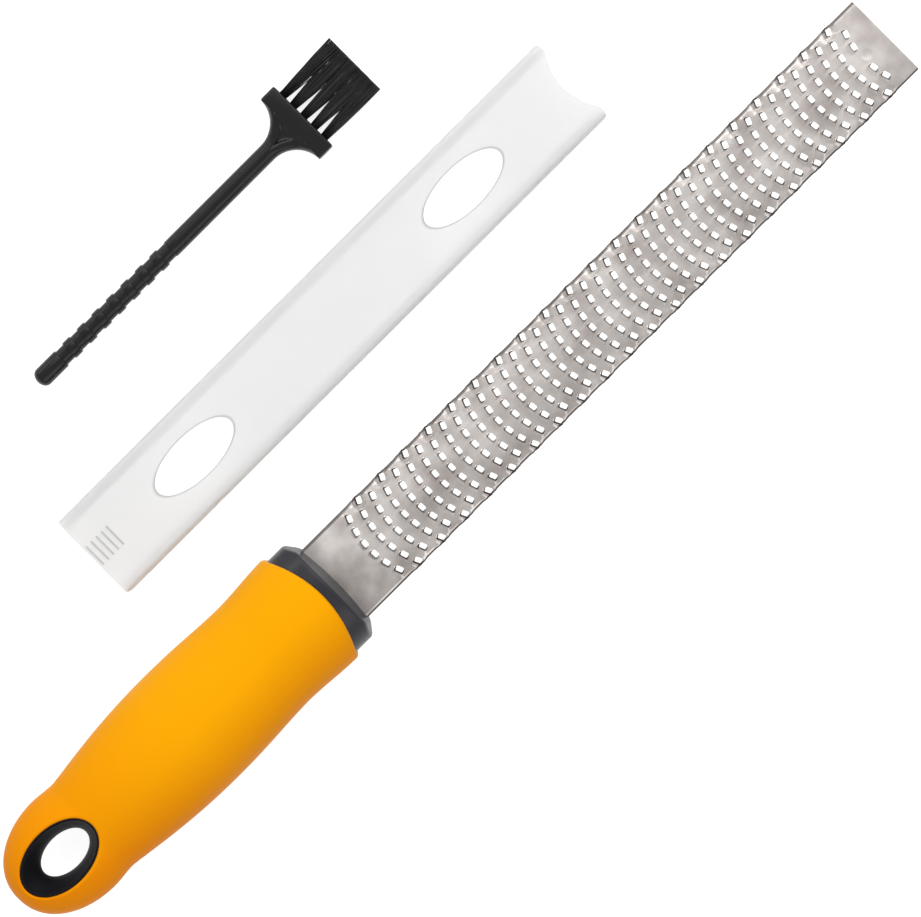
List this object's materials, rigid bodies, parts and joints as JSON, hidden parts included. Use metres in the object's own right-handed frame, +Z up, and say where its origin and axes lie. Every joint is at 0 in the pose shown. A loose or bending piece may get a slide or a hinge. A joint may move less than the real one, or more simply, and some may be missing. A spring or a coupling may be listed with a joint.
{
  "type": "rasp zester",
  "caption": "Long narrow steel rasp with arc-shaped rows of teeth in a bulbous soft-grip handle with a hanging eye, with its clear blade cover and cleaning brush laid beside it.",
  "frame": {"origin": "middle of the footprint of the whole laid-out set, on the table it lies on", "axes": "+X along the tool from the hanging eye to the rasp's tip, +Y from the tool across the cover to the brush, +Z up, out of the toothed face"},
  "size_m": [0.3292, 0.126, 0.029],
  "materials": {
    "rasp_steel": "satin stainless sheet",
    "core_plastic": "fine matt moulding",
    "grip_rubber": "soft satin thermoplastic rubber",
    "cover_plastic": "translucent natural plastic",
    "brush_plastic": "semi-gloss moulding",
    "bristle_nylon": "nylon filament",
    "anchor_brass": "plain strip"
  },
  "bodies": {
    "zester": {"rasp_blade": "rasp_steel", "handle_core": "core_plastic", "grip_sleeve": "grip_rubber"},
    "cover": {"blade_cover": "cover_plastic"},
    "brush": {"brush_handle": "brush_plastic", "bristle_tuft_1": "bristle_nylon", "bristle_tuft_2": "bristle_nylon", "bristle_tuft_3": "bristle_nylon", "bristle_tuft_4": "bristle_nylon", "bristle_tuft_5": "bristle_nylon", "tuft_anchors": "anchor_brass"}
  },
  "joints": [
    {"name": "cover_lift", "type": "slide", "parent": "zester", "child": "cover", "axis": [0, 0, 1], "range_m": [0, 0.12]},
    {"name": "brush_lift", "type": "slide", "parent": "zester", "child": "brush", "axis": [0, 0, 1], "range_m": [0, 0.12]}
  ]
}
